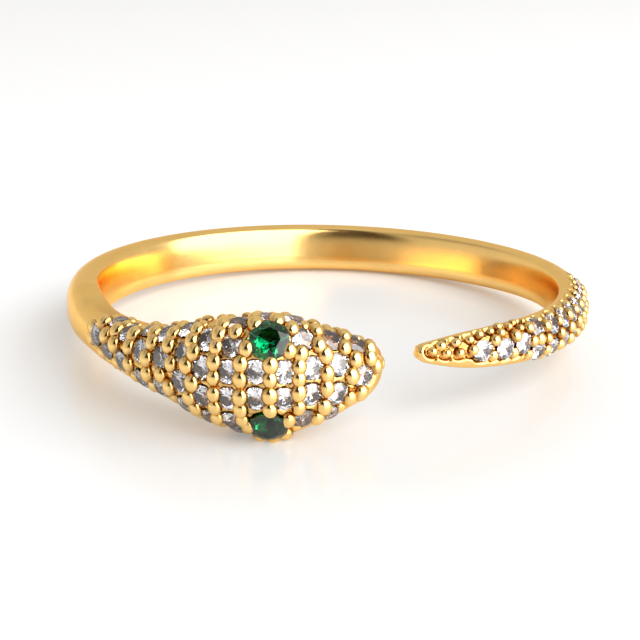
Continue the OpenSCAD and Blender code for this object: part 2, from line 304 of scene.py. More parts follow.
# The ring lies on the lower edge of its head and on the back of its band
HEAD_SAG = EYE_SAG_SHARE * NECK_SAG
REST_TILT = math.asin(((HEAD_H - BAND_H) / 2 + HEAD_SAG) / (2 * FINGER_R + (HEAD_T + BAND_T) / 2))
REST_Y = (HEAD_T - BAND_T) / 2
REST_Z = BAND_H / 2 * math.cos(REST_TILT) + (FINGER_R + BAND_T / 2) * math.sin(REST_TILT)
TURN_EYE = Matrix.Rotation(math.radians(EYE_A), 4, "Z")
LAID = (
    Matrix.Translation(Vector((0, REST_Y, REST_Z)))
    @ TURN_EYE.inverted()
    @ Matrix.Rotation(-REST_TILT, 4, "X")
    @ TURN_EYE
)
LAID_ARRAY = np.array(LAID)


def read_table(table, place):
    """A smooth curve through a table's rows, read at each place."""
    rows = np.array(table)
    x = rows[:, 0]
    count = np.arange(len(x))
    before = np.maximum(count - 1, 0)
    after = np.minimum(count + 1, len(x) - 1)
    slope = (rows[after] - rows[before]) / (x[after] - x[before])[:, None]
    i = np.clip(np.searchsorted(x, place, side="right") - 1, 0, len(x) - 2)
    step = (x[i + 1] - x[i])[:, None]
    k = np.clip((place - x[i])[:, None] / step, 0, 1)
    k2 = k * k
    k3 = k2 * k
    return (
        (2 * k3 - 3 * k2 + 1) * rows[i]
        + (k3 - 2 * k2 + k) * step * slope[i]
        + (3 * k2 - 2 * k3) * rows[i + 1]
        + (k3 - k2) * step * slope[i + 1]
    )


def section(angles):
    """Half height, thickness, lift and sag at each angle, from the snout leftwards round the back."""
    a = np.atleast_1d(np.asarray(angles, float))
    a = np.where(a < -180, a + 360, a)
    neck = (a + NECK_A) / (NECK_A - EYE_A)
    snout = 1 + (a + EYE_A) / (SNOUT_A + EYE_A)
    head = read_table(HEAD, np.where(a < -EYE_A, neck, snout))
    tail = read_table(TAIL, (a - TAIL_TIP_A) / (TAIL_ROOT_A - TAIL_TIP_A))
    on_head = a <= (SNOUT_A + TAIL_TIP_A) / 2
    head_height = head[:, 1] * BAND_H + head[:, 2] * HEAD_H
    tail_height = tail[:, 1] * BAND_H + tail[:, 2] * TAIL_H
    head_thick = head[:, 3] * BAND_T + head[:, 4] * HEAD_T
    tail_thick = tail[:, 3] * BAND_T + tail[:, 4] * TAIL_T
    half_h = np.where(on_head, head_height, tail_height) / 2
    thick = np.where(on_head, head_thick, tail_thick)
    lift = np.where(on_head, head[:, 5] * SNOUT_LIFT, tail[:, 5] * TAIL_LIFT)
    sag = np.where(on_head, head[:, 6] * NECK_SAG, 0)
    return half_h, thick, lift, sag


def rounded(v):
    return np.sign(v) * np.abs(v) ** (2 / SECTION_POWER)


def outline_point(half_h, thick, lift, sag, turn):
    """Radius and height of the outline, turn degrees round the section from its outermost point."""
    c = rounded(np.cos(np.radians(turn)))
    s = rounded(np.sin(np.radians(turn)))
    r = FINGER_R + thick / 2 * (1 + c * np.where(c < 0, INNER_SHARE, 1))
    return r, lift + (half_h - np.sign(s) * sag) * s


def skin(a, turn):
    r, z = outline_point(*section(a), np.atleast_1d(turn))
    angle = np.radians(a)
    return np.array([r[0] * math.sin(angle), -r[0] * math.cos(angle), z[0]])


def turn_at(a, way):
    """The turn at which the skin is a given way from the middle line."""
    step = 4.0
    turn = 0.0
    left = abs(way)
    here = skin(a, 0)
    while left > 0:
        there = skin(a, turn + step)
        length = np.linalg.norm(there - here)
        if turn >= 90 or length >= left:
            return math.copysign(turn + step * left / length, way)
        left -= length
        turn += step
        here = there
    return 0.0


def walked(a, way):
    """The angle a given way further along the middle line."""
    while abs(way) > 0.001:
        part = math.copysign(min(abs(way), 0.5), way)
        a += turn_over(part, FINGER_R + section(a)[1][0])
        way -= part
    return a


def stand_at(a, turn, rise):
    """A place on the skin, +Z outwards and +X along the ring, as a 4 by 4 matrix in the ring's frame."""
    point = skin(a, turn)
    along = skin(a + 0.5, turn) - skin(a - 0.5, turn)
    across = skin(a, turn + 0.5) - skin(a, turn - 0.5)
    out = np.cross(along, across)
    out /= np.linalg.norm(out)
    x = along / np.linalg.norm(along)
    place = np.eye(4)
    place[:3, 0] = x
    place[:3, 1] = np.cross(out, x)
    place[:3, 2] = out
    place[:3, 3] = point + rise * out
    return place


def stand_on_skin(a, way, rise):
    return stand_at(a, turn_at(a, way), rise)


def places(start, table, rise):
    return [stand_on_skin(walked(start, row[0]), way, rise) for row in table for way in row[1:]]


HEAD_SEATS = places(-EYE_A, HEAD_STONES, -STONE_SINK)
TAIL_SEATS = places(TAIL_TIP_A, TAIL_STONES, -STONE_SINK)
EYE_SEATS = [stand_on_skin(-EYE_A, side * EYE_REACH, -STONE_SINK) for side in (1, -1)]
HEAD_BEAD_PLACES = places(-EYE_A, HEAD_BEADS, BEAD_RISE)
TAIL_BEAD_PLACES = places(TAIL_TIP_A, TAIL_BEADS, BEAD_RISE)
HEAD_LOW_PLACES = places(-EYE_A, HEAD_LOW_BEADS, LOW_RISE)
TAIL_LOW_PLACES = places(TAIL_TIP_A, TAIL_LOW_BEADS, LOW_RISE)
CREST_PLACES = [stand_at(walked(-EYE_A, way), turn, CREST_RISE) for way, turn in HEAD_CREST]
GRAIN_PLACES = places(TAIL_TIP_A, TAIL_GRAINS, BEAD_RISE)


def laid(points):
    """Millimetres in the ring's frame to metres in the model's frame."""
    return (points @ LAID_ARRAY[:3, :3].T + LAID_ARRAY[:3, 3]) * MM


def mesh_piece(name, points, faces, smooth=True):
    mesh = bpy.data.meshes.new(name)
    mesh.from_pydata([tuple(p) for p in points], [], faces)
    mesh.validate()
    mesh.polygons.foreach_set("use_smooth", [smooth] * len(mesh.polygons))
    mesh.update()
    piece = bpy.data.objects.new(name, mesh)
    bpy.context.scene.collection.objects.link(piece)
    return piece


# Node helpers
def node(tree, kind, inputs=None, **settings):
    """Adds a node. An input takes a value or another node's output."""
    made = tree.nodes.new(kind)
    for name, value in settings.items():
        setattr(made, name, value)
    for name, value in (inputs or {}).items():
        if isinstance(value, bpy.types.NodeSocket):
            tree.links.new(value, made.inputs[name])
        else:
            made.inputs[name].default_value = value
    return made


def new_group(name, kind, inputs, outputs):
    """A node group with named inputs (name: (type, value)) and outputs (name: type)."""
    group = bpy.data.node_groups.new(name, kind)
    for label, (socket_type, value) in inputs.items():
        made = group.interface.new_socket(label, in_out="INPUT", socket_type=socket_type)
        if value is not None:
            made.default_value = value
    for label, socket_type in outputs.items():
        group.interface.new_socket(label, in_out="OUTPUT", socket_type=socket_type)
    return group, group.nodes.new("NodeGroupInput"), group.nodes.new("NodeGroupOutput")


def ramp(tree, value, stops):
    made = node(tree, "ShaderNodeValToRGB", {"Fac": value})
    elements = made.color_ramp.elements
    while len(elements) < len(stops):
        elements.new(0.5)
    for element, (position, colour) in zip(elements, stops):
        element.position = position
        element.color = colour
    return made.outputs["Color"]


def span(tree, value, limits):
    """A value mapped between the given limits."""
    return node(tree, "ShaderNodeMapRange", {"Value": value, **limits}).outputs["Result"]


def maths(tree, operation, *values):
    return node(tree, "ShaderNodeMath", dict(enumerate(values)), operation=operation).outputs[0]


def mix_colours(tree, share, first, second, blend="MIX"):
    mixed = node(tree, "ShaderNodeMix", {0: share}, data_type="RGBA", blend_type=blend)
    tree.links.new(first, mixed.inputs[6])
    if isinstance(second, bpy.types.NodeSocket):
        tree.links.new(second, mixed.inputs[7])
    else:
        mixed.inputs[7].default_value = second
    return mixed.outputs[2]


# Hand polish: faint waves left by the buffing wheel and fine hairlines
def make_hand_polish():
    group, entry, leave = new_group(
        "hand_polish",
        "ShaderNodeTree",
        {
            "Place": ("NodeSocketVector", None),
            "Wave Scale": ("NodeSocketFloat", 900.0),
            "Hairline Scale": ("NodeSocketFloat", 6000.0),
        },
        {"Wave": "NodeSocketFloat", "Hairlines": "NodeSocketFloat"},
    )
    place = entry.outputs["Place"]
    waves = {"Scale": entry.outputs["Wave Scale"], "Detail": 2.0, "Roughness": 0.45}
    hairlines = {"Scale": entry.outputs["Hairline Scale"], "Detail": 3.0, "Distortion": 1.5}
    wave = node(group, "ShaderNodeTexNoise", {"Vector": place, **waves})
    lines = node(group, "ShaderNodeTexNoise", {"Vector": place, **hairlines})
    group.links.new(wave.outputs["Fac"], leave.inputs["Wave"])
    group.links.new(lines.outputs["Fac"], leave.inputs["Hairlines"])
    return group


HAND_POLISH = make_hand_polish()


def shader_of(name):
    material = bpy.data.materials.new(name)
    material.use_nodes = True
    tree = material.node_tree
    return material, tree, tree.nodes["Principled BSDF"]


# Gold: its colour at the edge, the dark brown of the painted shade in the depths between the beads, and where
# the buffing wheel left it duller
GOLD_EDGE = (1.0, 0.84, 0.56, 1)
PIT_SHADE_GOLD = (0.3, 0.1, 0.015, 1)
BUFFED_SHADE = (0.95, 0.94, 0.92, 1)
# Stones: the grey of the painted shade that darkens the clear ones towards the neck, and where along the ring
# it does
NECK_PAINTED_SHADE = (0.4, 0.4, 0.42, 1)
NECK_SHADE_FROM = -0.003
NECK_SHADE_TO = -0.007


def gold(name, bright, roughness, wave_height):
    """Polished gold plate, painted darker between the beads by a point attribute that holds their depth, as
    painted shade.
    """
    material, tree, shader = shader_of(name)
    place = node(tree, "ShaderNodeTexCoord").outputs["Object"]
    polish = node(tree, "ShaderNodeGroup", node_tree=HAND_POLISH)
    tree.links.new(place, polish.inputs["Place"])
    pit_shade = node(tree, "ShaderNodeAttribute", attribute_name="pit_shade").outputs["Fac"]
    # Painted shade: the colour runs to dark brown the deeper the point lies between the beads
    tone = ramp(tree, pit_shade, [(0.0, bright), (1.0, PIT_SHADE_GOLD)])
    shade = ramp(tree, polish.outputs["Wave"], [(0.3, BUFFED_SHADE), (0.7, (1, 1, 1, 1))])
    tree.links.new(mix_colours(tree, 1.0, tone, shade, "MULTIPLY"), shader.inputs["Base Color"])
    limits = {"From Min": 0.3, "From Max": 0.7, "To Min": roughness * 0.9, "To Max": roughness * 1.12}
    tree.links.new(span(tree, polish.outputs["Hairlines"], limits), shader.inputs["Roughness"])
    bump = node(tree, "ShaderNodeBump", {"Height": polish.outputs["Wave"], "Distance": wave_height})
    bump.inputs["Strength"].default_value = 1.0
    tree.links.new(bump.outputs["Normal"], shader.inputs["Normal"])
    shader.inputs["Metallic"].default_value = 1.0
    shader.inputs["Specular Tint"].default_value = GOLD_EDGE
    return material


def cut_glass(name, light, dark, ior, gloss=0.5, shade=0.0):
    """Cut stone whose tint changes a little from one to the next, and which is painted darker towards the
    neck by the share shade, as painted shade.
    """
    material, tree, shader = shader_of(name)
    tint = node(tree, "ShaderNodeAttribute", attribute_name="tint").outputs["Fac"]
    colour = ramp(tree, tint, [(0.0, dark), (1.0, light)])
    place = node(tree, "ShaderNodeTexCoord").outputs["Object"]
    across = node(tree, "ShaderNodeSeparateXYZ", {"Vector": place})
    towards_neck = {"From Min": NECK_SHADE_FROM, "From Max": NECK_SHADE_TO, "To Max": shade}
    shaded = span(tree, across.outputs["X"], towards_neck)
    # Painted shade: the stone's colour is mixed towards grey towards the neck
    neck_painted_dark = mix_colours(tree, shaded, colour, NECK_PAINTED_SHADE)
    tree.links.new(neck_painted_dark, shader.inputs["Base Color"])
    shader.inputs["Metallic"].default_value = 0.0
    shader.inputs["Transmission Weight"].default_value = 1.0
    shader.inputs["Specular IOR Level"].default_value = gloss
    shader.inputs["IOR"].default_value = ior
    shader.inputs["Roughness"].default_value = 0.0
    return material


GOLD = gold("polished_gold", (1.0, 0.65, 0.23, 1), roughness=0.2, wave_height=0.004 * MM)
BEAD_GOLD = gold("bead_gold", (1.0, 0.68, 0.26, 1), roughness=0.1, wave_height=0.003 * MM)
# The clear stones are painted darker towards the neck, as painted shade
CLEAR_STONE = cut_glass("clear_stone", (1.0, 0.98, 1.0, 1), (0.84, 0.82, 0.88, 1), 2.15, shade=0.6)
GREEN_STONE = cut_glass("green_stone", (0.0, 0.36, 0.12, 1), (0.0, 0.3, 0.1, 1), 1.6, 0.2)
# The lower eye is a copy of the green stone painted darker, as painted shade, and without its gloss
SHADED_GREEN_STONE = cut_glass("shaded_green_stone", (0.0, 0.34, 0.11, 1), (0.0, 0.28, 0.09, 1), 1.6, 0.0)


# The gold body
OUTER_TURN = 112.0
OUTER_POINTS = 121
FILLET_STEPS = 12
# Degrees between two sections, in the fields of stones and elsewhere
FINE_TURN = 0.34
COARSE_TURN = 2.0
# How far the fine sections run from the tip of the tail
TAIL_FIELD = 14.5
# How far the two ends are rounded off, and in how many rings
SNOUT_ROUND = 0.1
TIP_ROUND = 0.08
CAP_RINGS = 5
# The wall of the finger hole, for its upper and its lower side: side, how far its bend stands back from the
# cylinder, then the heights of its bend and of its end as shares of the half height
WALL_CORNER = 0.86
WALLS = [
    [1, 0.14, 0.35, -0.45],
    [-1, 0.00, -0.75, -0.55],
]
# The field between the stones is sunk. It is sunk further on the tail, and further still in the spots that
# no stone or bead covers
FIELD_SUNK = 0.05
TAIL_SUNK = 0.07
BETWEEN_SUNK = 0.07
# How far off the stones and beads the extra depth is reached, and the field ends
BETWEEN_EDGE = (0.0, 0.1)
FIELD_EDGE = (0.04, 0.16)
# A seat's cone is a little wider and deeper than the stone's
SEAT_ROOM = 0.02
SEAT_DEEPER = 0.04
# The low beads at the edges hold down the field this far out, as a share of their width
LOW_BEAD_FIELD = 0.3
# Points this far below and above a stone or bead aren't in its field, as those on the tail's other wall
FIELD_BELOW = 0.4
FIELD_ABOVE = 0.8
# How far the body lies back under the beads of the crest, and between which angles and which turns
CREST_DROP = 0.09
CREST_NECK = (-68, -52)
CREST_SNOUT = (SNOUT_A - 6, SNOUT_A)
CREST_FRONT = (60, 88)
CREST_BACK = (112, 150)
# The depth at which the painted shade between the beads makes the gold its darkest
PIT_SHADE_DEPTH = 0.24


def eased(low, high, value):
    """Rises smoothly from 0 at low to 1 at high."""
    k = np.clip((value - low) / (high - low), 0, 1)
    return k * k * (3 - 2 * k)


def cap(ring, towards):
    """Rings and pole that round off an end, as far as the vector towards."""
    middle = ring.mean(axis=0)
    turns = [math.pi / 2 * k / (CAP_RINGS + 1) for k in range(1, CAP_RINGS + 1)]
    rings = [middle + (ring - middle) * math.cos(t) + towards * math.sin(t) for t in turns]
    return rings, middle + towards


def onwards(angle, length):
    """The given length along the ring at an angle."""
    return np.array([math.cos(math.radians(angle)), math.sin(math.radians(angle)), 0]) * length


def wall_curve(start, lift, reach, side, flare, bend, end):
    """One side of the wall of the finger hole, from the edge of the outline inwards."""
    corner = np.array([FINGER_R, lift + side * WALL_CORNER * reach])
    near = (start + corner) / 2
    far = np.array([FINGER_R + flare, lift + bend * reach])
    last = np.array([FINGER_R, lift + end * reach])
    curve = []
    for step in range(1, FILLET_STEPS + 1):
        k = step / FILLET_STEPS
        ends = (1 - k) ** 3 * start + k**3 * last
        curve.append(ends + 3 * k * (1 - k) * ((1 - k) * near + k * far))
    return curve


def body_outline(half_h, thick, lift, sag, outer_turns):
    """Outline of one section, round the outside and back over the domed wall of the finger hole."""
    r, z = outline_point(half_h, thick, lift, sag, outer_turns)
    curves = []
    for wall in WALLS:
        side = wall[0]
        edge_r, edge_z = outline_point(half_h, thick, lift, sag, np.array([side * OUTER_TURN]))
        start = np.array([edge_r[0], edge_z[0]])
        curves.append(wall_curve(start, lift, half_h - side * sag, *wall))
    upper, lower = curves
    middle = (upper[-1] + lower[-1]) / 2
    return [*zip(r, z), *upper, middle, *reversed(lower)]


def body_stations():
    """Angles of the sections, from the snout leftwards round the back to the tip of the tail."""
    field = walked(TAIL_TIP_A, TAIL_FIELD) - 360
    tip = TAIL_TIP_A - 360
    head = np.arange(SNOUT_A, -NECK_A, -FINE_TURN)
    shank = np.arange(-NECK_A, field, -COARSE_TURN)
    tail = np.arange(field, tip, -FINE_TURN)
    return np.concatenate([head, shank, tail, [tip]])


def grid_normals(grid):
    """Outward normals of a grid whose rows are closed rings."""
    along = np.gradient(grid, axis=0)
    across = np.roll(grid, -1, axis=1) - np.roll(grid, 1, axis=1)
    normal = np.cross(across, along)
    normal /= np.maximum(np.linalg.norm(normal, axis=-1, keepdims=True), 1e-9)
    outwards = grid - np.mean(grid, axis=1, keepdims=True)
    return normal * np.sign(np.sum(normal * outwards, axis=-1).mean())


def seats_and_gaps(points):
    """How deep a stone's seat is at each point, and how far off the nearest stone or bead."""
    seat_depth = np.zeros(len(points))
    gap = np.full(len(points), np.inf)
    seats = [(place, STONE_D / 2) for place in HEAD_SEATS + TAIL_SEATS]
    seats += [(place, EYE_D / 2) for place in EYE_SEATS]
    beads = [(place, BEAD_D / 2) for place in HEAD_BEAD_PLACES + TAIL_BEAD_PLACES]
    beads += [(place, LOW_BEAD_FIELD * BEAD_D) for place in HEAD_LOW_PLACES + TAIL_LOW_PLACES]
    beads += [(place, GRAIN_D / 2) for place in GRAIN_PLACES]
    for number, (place, radius) in enumerate(seats + beads):
        local = points - place[:3, 3]
        height = local @ place[:3, 2]
        flatwise = np.sqrt(np.maximum(np.sum(local * local, axis=1) - height**2, 0))
        near = (height > -FIELD_BELOW) & (height < FIELD_ABOVE)
        gap = np.minimum(gap, np.where(near, flatwise - radius, np.inf))
        if number < len(seats):
            inside = near & (flatwise < radius + SEAT_ROOM)
            cone = STONE_SINK + SEAT_DEEPER + PAVILION_SHARE * 2 * radius * (1 - flatwise / radius)
            seat_depth = np.where(inside, np.maximum(seat_depth, cone + height), seat_depth)
    return seat_depth, gap


def crest_share(stations, turns):
    """1 on the head's upper crest, easing to 0 round it, for each station and turn."""
    on_crest = eased(*CREST_FRONT, turns) * (1 - eased(*CREST_BACK, turns))
    on_head = eased(*CREST_NECK, stations) * (1 - eased(*CREST_SNOUT, stations))
    return np.outer(np.pad(on_head, CAP_RINGS), on_crest)


def relief(grid, stations):
    """How far each point of the grid lies below the plain skin: the field, the crest and the seats."""
    sides = grid.shape[1]
    seat_depth, gap = seats_and_gaps(grid.reshape(-1, 3))
    field = 1 - eased(*FIELD_EDGE, gap)
    outer_turns = np.linspace(-OUTER_TURN, OUTER_TURN, OUTER_POINTS)
    inner_turns = np.linspace(OUTER_TURN, 180, FILLET_STEPS)
    far_turns = np.full(sides - OUTER_POINTS - FILLET_STEPS, 180.0)
    turns = np.concatenate([outer_turns, inner_turns, far_turns])
    crest_drop = CREST_DROP * crest_share(stations, turns).reshape(-1)
    on_tail = np.pad(1.0 * (stations < TAIL_ROOT_A - 360), CAP_RINGS)
    sunk = FIELD_SUNK + TAIL_SUNK * np.repeat(on_tail, sides)
    floor = np.maximum(field * (sunk + BETWEEN_SUNK * eased(*BETWEEN_EDGE, gap)), crest_drop)
    return np.maximum(floor, seat_depth)


def ring_faces(count, sides):
    """Faces round a stack of rings. After the rings' points come the poles of the first and the last ring."""
    last = (count - 1) * sides
    pole = count * sides
    faces = []
    for p in range(0, last, sides):
        q = p + sides
        for i in range(sides):
            j = (i + 1) % sides
            faces.append((p + i, p + j, q + j, q + i))
    for i in range(sides):
        j = (i + 1) % sides
        faces.append((j, i, pole))
        faces.append((last + i, last + j, pole + 1))
    return faces


def build_body():
    """The cast body but its beads: one closed mesh, swept from the snout round to the tip of the tail."""
    stations = body_stations()
    outer_turns = np.linspace(-OUTER_TURN, OUTER_TURN, OUTER_POINTS)
    profiles = np.array([body_outline(*values, outer_turns) for values in zip(*section(stations))])
    angle = np.radians(stations)[:, None]
    r = profiles[:, :, 0]
    grid = np.stack([r * np.sin(angle), -r * np.cos(angle), profiles[:, :, 1]], axis=-1)
    snout_rings, snout_pole = cap(grid[0], onwards(SNOUT_A, SNOUT_ROUND))
    tail_rings, tail_pole = cap(grid[-1], onwards(TAIL_TIP_A, -TIP_ROUND))
    grid = np.concatenate([snout_rings[::-1], grid, tail_rings])
    depth = relief(grid, stations)
    moved = grid.reshape(-1, 3) - grid_normals(grid).reshape(-1, 3) * depth[:, None]
    points = np.concatenate([moved, [snout_pole, tail_pole]])
    piece = mesh_piece("snake_body", laid(points), ring_faces(*grid.shape[:2]))
    # Painted shade: the gold is painted darker the deeper each point lies
    add_pit_shade(piece, [*np.clip(depth / PIT_SHADE_DEPTH, 0, 1), 0.0, 0.0])
    face_outwards(piece)
    piece.data.materials.append(GOLD)
    return piece


def add_pit_shade(piece, values):
    """How deep each point lies between the beads, from 0 to 1, for the gold to be painted darker by, as
    painted shade.
    """
    piece.data.attributes.new("pit_shade", "FLOAT", "POINT").data.foreach_set("value", values)


def face_outwards(piece):
    """Turns all faces of a closed mesh outwards."""
    mesh = piece.data
    points = np.empty(len(mesh.vertices) * 3)
    mesh.vertices.foreach_get("co", points)
    points = points.reshape(-1, 3)
    mesh.calc_loop_triangles()
    corners = np.empty(len(mesh.loop_triangles) * 3, int)
    mesh.loop_triangles.foreach_get("vertices", corners)
    a, b, c = (points[corners.reshape(-1, 3)[:, k]] for k in range(3))
    if np.sum(np.sum(a * np.cross(b, c), axis=1)) < 0:
        mesh.flip_normals()


# Shapes that repeat
DOME_SLOPE = 64
DOME_RISE = 0.44
FOOT_DEPTH = 0.62
BEAD_SIDES = 14
# Rings of the bead's foot, and the turns from its top at which the rings of the dome lie
BEAD_FOOT = [(0.44, -FOOT_DEPTH), (0.48, -0.3)]
DOME_TURNS = (DOME_SLOPE, 50, 37, 24, 12)
# How dark the painted shade makes each ring, from the foot to the top
BEAD_PIT_SHADE = (1.0, 0.95, 0.6, 0.22, 0.0, 0.0, 0.0)


def bead_shape():
    """A burnished dome on a short foot, one unit wide, its widest at z = 0."""
    cap_r = 0.5 / math.sin(math.radians(DOME_SLOPE))
    dome = []
    for turn in DOME_TURNS:
        t = math.radians(turn)
        dome.append((cap_r * math.sin(t), DOME_RISE - cap_r * (1 - math.cos(t))))
    round_turns = [2 * math.pi * i / BEAD_SIDES for i in range(BEAD_SIDES)]
    rings = BEAD_FOOT + dome
    points = [(r * math.cos(t), r * math.sin(t), z) for r, z in rings for t in round_turns]
    points += [(0, 0, -FOOT_DEPTH), (0, 0, DOME_RISE)]
    piece = mesh_piece("bead_shape", points, ring_faces(len(rings), BEAD_SIDES))
    # Painted shade: the bead is painted darker towards its foot
    add_pit_shade(piece, [*np.repeat(BEAD_PIT_SHADE, BEAD_SIDES), 1.0, 0.0])
    return piece


# Cut stone: main facets, how far its stars reach from the table to the girdle, and where the lower facets end
STONE_MAINS = 8
STAR_REACH = 0.55
LOWER_R = 0.14


def brilliant():
    """A round brilliant one unit wide, its girdle at z = 0: table, stars and kites above, mains below."""
    mains = STONE_MAINS
    half = math.pi / mains

    def point(r, k, z):
        return (r * math.cos(half * k), r * math.sin(half * k), z)

    table_r = TABLE_SHARE / 2
    star_r = table_r + (0.5 - table_r) * STAR_REACH
    drop = (CROWN_SHARE - GIRDLE_SHARE) / (0.5 - table_r)
    star_z = CROWN_SHARE - drop * (star_r * math.cos(half) - table_r)
    rise = (PAVILION_SHARE - GIRDLE_SHARE) / 0.5
    lower_z = -PAVILION_SHARE + rise * LOWER_R * math.cos(half)
    points = [point(table_r, 2 * k, CROWN_SHARE) for k in range(mains)]
    points += [point(star_r, 2 * k + 1, star_z) for k in range(mains)]
    points += [point(0.5, k, GIRDLE_SHARE) for k in range(2 * mains)]
    points += [point(0.5, k, -GIRDLE_SHARE) for k in range(2 * mains)]
    points += [point(LOWER_R, 2 * k + 1, lower_z) for k in range(mains)]
    points += [(0, 0, -PAVILION_SHARE)]
    star, top, bottom, lower = mains, 2 * mains, 4 * mains, 6 * mains
    tip = 7 * mains
    faces = [tuple(range(mains))]
    for k in range(mains):
        after = (k + 1) % mains
        before = (k - 1) % mains
        edge, middle, ahead = 2 * k, 2 * k + 1, (2 * k + 2) % (2 * mains)
        faces.append((k, star + k, after))
        faces.append((k, star + before, top + edge, star + k))
        faces.append((star + k, top + edge, top + middle))
        faces.append((star + k, top + middle, top + ahead))
        faces.append((top + edge, bottom + edge, bottom + middle, top + middle))
        faces.append((top + middle, bottom + middle, bottom + ahead, top + ahead))
        faces.append((bottom + edge, lower + k, bottom + middle))
        faces.append((bottom + middle, lower + k, bottom + ahead))
        faces.append((bottom + edge, lower + before, tip, lower + k))
    return mesh_piece("stone_shape", points, faces, smooth=False)


# Settings: one shape stood on many places
def make_setting():
    """Stands one shape on each point, turned and sized by the point's own attributes."""
    group, entry, leave = new_group(
        "stone_setting",
        "GeometryNodeTree",
        {
            "Points": ("NodeSocketGeometry", None),
            "Shape": ("NodeSocketObject", None),
            "Finish": ("NodeSocketMaterial", None),
            "Width": ("NodeSocketFloat", 0.001),
            "Stretch": ("NodeSocketFloat", 1.0),
            "Lean": ("NodeSocketFloat", 0.0),
            "Unevenness": ("NodeSocketFloat", 0.0),
            "Seed": ("NodeSocketInt", 1),
        },
        {"Set": "NodeSocketGeometry"},
    )
    shape = node(group, "GeometryNodeObjectInfo", {"Object": entry.outputs["Shape"]})
    turn = node(group, "GeometryNodeInputNamedAttribute", {"Name": "turn"}, data_type="FLOAT_VECTOR")
    vary = node(group, "FunctionNodeRandomValue", {"Seed": entry.outputs["Seed"]}, data_type="FLOAT")
    group.links.new(maths(group, "SUBTRACT", 1.0, entry.outputs["Unevenness"]), vary.inputs[2])
    group.links.new(maths(group, "ADD", 1.0, entry.outputs["Unevenness"]), vary.inputs[3])
    size = maths(group, "MULTIPLY", vary.outputs[1], entry.outputs["Width"])
    across = maths(group, "MULTIPLY", size, entry.outputs["Stretch"])
    scale = node(group, "ShaderNodeCombineXYZ", {0: size, 1: across, 2: size})
    stood = node(
        group,
        "GeometryNodeInstanceOnPoints",
        {
            "Points": entry.outputs["Points"],
            "Instance": shape.outputs["Geometry"],
            "Rotation": turn.outputs[0],
            "Scale": scale.outputs[0],
        },
    )
    lean = node(group, "FunctionNodeRandomValue", {"Seed": entry.outputs["Seed"]}, data_type="FLOAT_VECTOR")
    group.links.new(maths(group, "MULTIPLY", entry.outputs["Lean"], -1.0), lean.inputs[0])
    group.links.new(entry.outputs["Lean"], lean.inputs[1])
    leant = node(
        group,
        "GeometryNodeRotateInstances",
        {"Instances": stood.outputs["Instances"], "Rotation": lean.outputs[0]},
    )
    tint = node(group, "FunctionNodeRandomValue", {"Seed": entry.outputs["Seed"]}, data_type="FLOAT")
    marked = node(
        group,
        "GeometryNodeStoreNamedAttribute",
        {"Geometry": leant.outputs["Instances"], "Name": "tint"},
        data_type="FLOAT",
        domain="INSTANCE",
    )
    group.links.new(tint.outputs[1], marked.inputs["Value"])
    real = node(group, "GeometryNodeRealizeInstances", {"Geometry": marked.outputs["Geometry"]})
    done = node(
        group,
        "GeometryNodeSetMaterial",
        {"Geometry": real.outputs["Geometry"], "Material": entry.outputs["Finish"]},
    )
    group.links.new(done.outputs["Geometry"], leave.inputs["Set"])
    return group


SETTING = make_setting()


def socket_id(group, label):
    return next(s.identifier for s in group.interface.items_tree if s.name == label and s.in_out == "INPUT")


def set_on(name, shape, stands, width, finish, seed, stretch=1.0, lean=0.0, unevenness=0.0):
    """Stands the shape on the given places and returns the result as a plain mesh piece."""
    points = laid(np.array([s[:3, 3] for s in stands]))
    turns = [(LAID @ Matrix(s.tolist())).to_euler("XYZ") for s in stands]
    host = mesh_piece(name + "_points", points, [])
    attribute = host.data.attributes.new("turn", "FLOAT_VECTOR", "POINT")
    attribute.data.foreach_set("vector", [v for t in turns for v in t])
    modifier = host.modifiers.new("setting", "NODES")
    modifier.node_group = SETTING
    for label, value in {
        "Shape": shape,
        "Finish": finish,
        "Width": width * MM,
        "Stretch": stretch,
        "Lean": lean,
        "Unevenness": unevenness,
        "Seed": seed,
    }.items():
        modifier[socket_id(SETTING, label)] = value
    bpy.context.view_layer.update()
    graph = bpy.context.evaluated_depsgraph_get()
    mesh = bpy.data.meshes.new_from_object(host.evaluated_get(graph))
    mesh.name = name
    piece = bpy.data.objects.new(name, mesh)
    bpy.context.scene.collection.objects.link(piece)
    bpy.data.objects.remove(host)
    return piece


def dress(piece, slot, *nodes):
    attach(piece, "root")
    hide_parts(*nodes)


# Camera
CAMERA_AWAY = 60.0
CAMERA_UP = math.radians(14.44)
CAMERA_ROLL = math.radians(-1.38)
CAMERA_LENS = 86.2
CAMERA_SENSOR = 36.0
CAMERA_SHIFT = (-0.0130, -0.0331)


def add_camera():
    data = bpy.data.cameras.new("photo_camera")
    data.lens = CAMERA_LENS
    data.sensor_width = CAMERA_SENSOR
    data.shift_x, data.shift_y = CAMERA_SHIFT
    data.clip_start = 0.001
    data.clip_end = 10.0
    camera = bpy.data.objects.new("photo_camera", data)
    bpy.context.scene.collection.objects.link(camera)
    level = Vector((1, 0, 0))
    upright = Vector((0, math.sin(CAMERA_UP), math.cos(CAMERA_UP)))
    right = level * math.cos(CAMERA_ROLL) - upright * math.sin(CAMERA_ROLL)
    up = level * math.sin(CAMERA_ROLL) + upright * math.cos(CAMERA_ROLL)
    back = right.cross(up)
    turn = Matrix((right, up, back)).transposed().to_4x4()
    place = LAID @ Matrix.Translation(back * CAMERA_AWAY) @ turn
    place.translation *= MM
    camera.matrix_world = place
    bpy.context.scene.camera = camera


